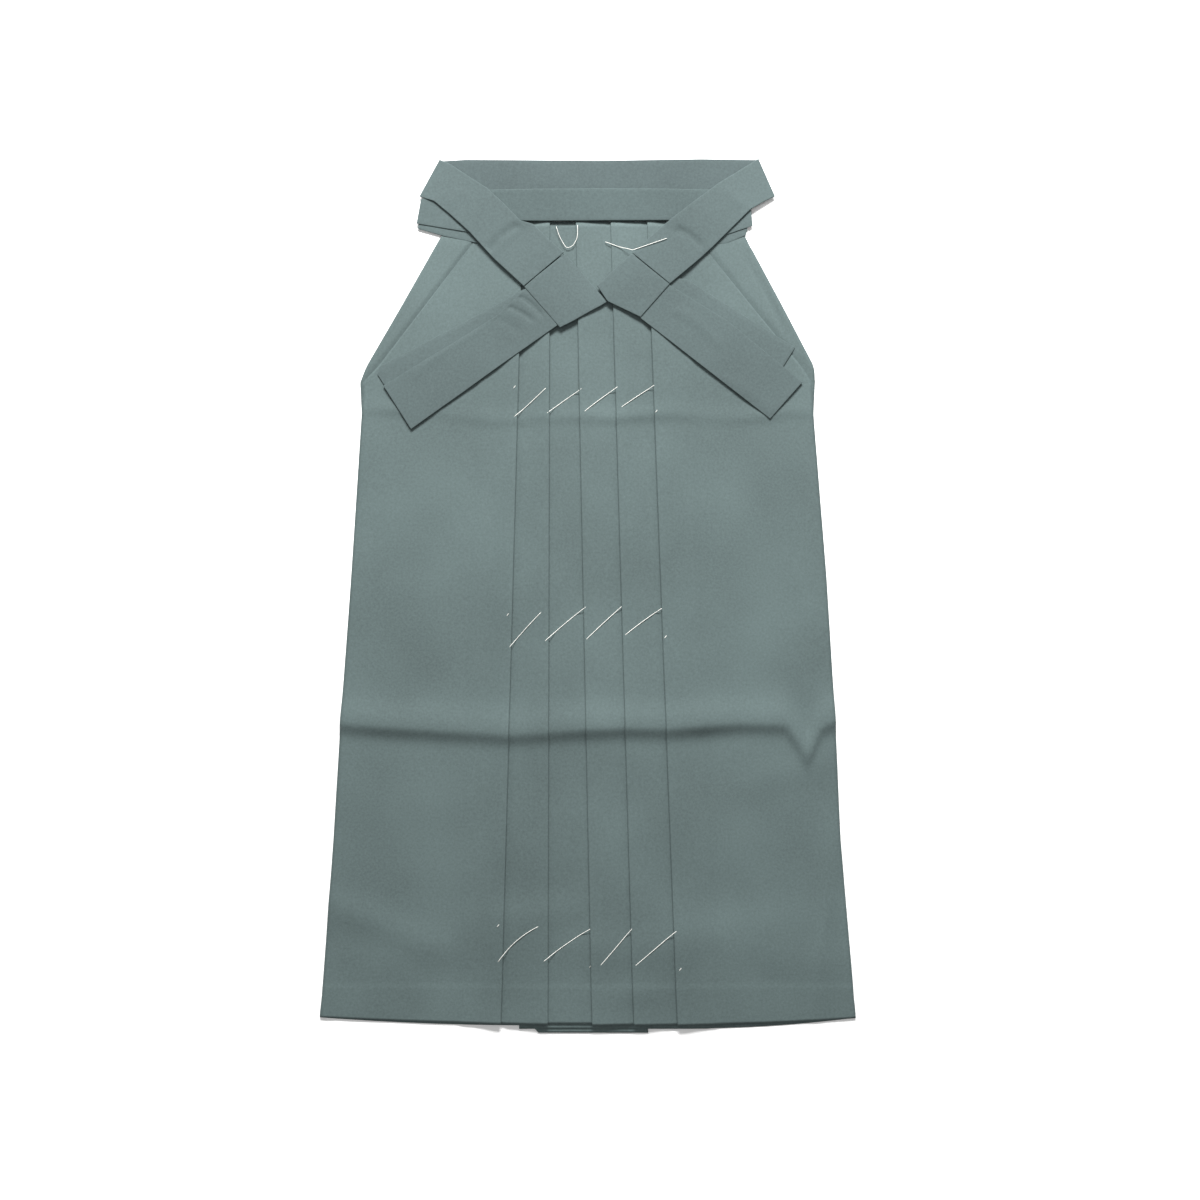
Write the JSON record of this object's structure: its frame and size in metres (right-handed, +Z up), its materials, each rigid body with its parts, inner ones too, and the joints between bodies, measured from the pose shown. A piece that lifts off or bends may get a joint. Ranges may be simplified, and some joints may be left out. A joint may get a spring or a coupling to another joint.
{
  "type": "hakama trousers",
  "caption": "Pleated hakama with its waistbands and ties, pressed, folded the traditional way and laid flat with the front up.",
  "frame": {"origin": "on the surface the garment lies on, under the middle of its bounding box", "axes": "+Z up from the surface, the front of the garment facing up; +Y from the hem to the waist; +X across, to the right as seen from above with the waist away from the viewer"},
  "size_m": [0.604, 0.996, 0.0144],
  "materials": {
    "cloth": "slate grey-green plain cloth, matt with a slight sheen",
    "thread": "white cotton basting thread"
  },
  "bodies": {
    "root": {"back_left": "cloth", "back_right": "cloth", "front_left": "cloth", "front_right": "cloth", "back_waistband": "cloth", "front_waistband": "cloth", "front_tie_fold_left": "cloth", "front_tie_fold_right": "cloth", "front_tie_left": "cloth", "front_tie_right": "cloth", "back_tie_left": "cloth", "back_tie_right": "cloth", "back_tie_square_left": "cloth", "back_tie_square_right": "cloth"}
  },
  "joints": []
}
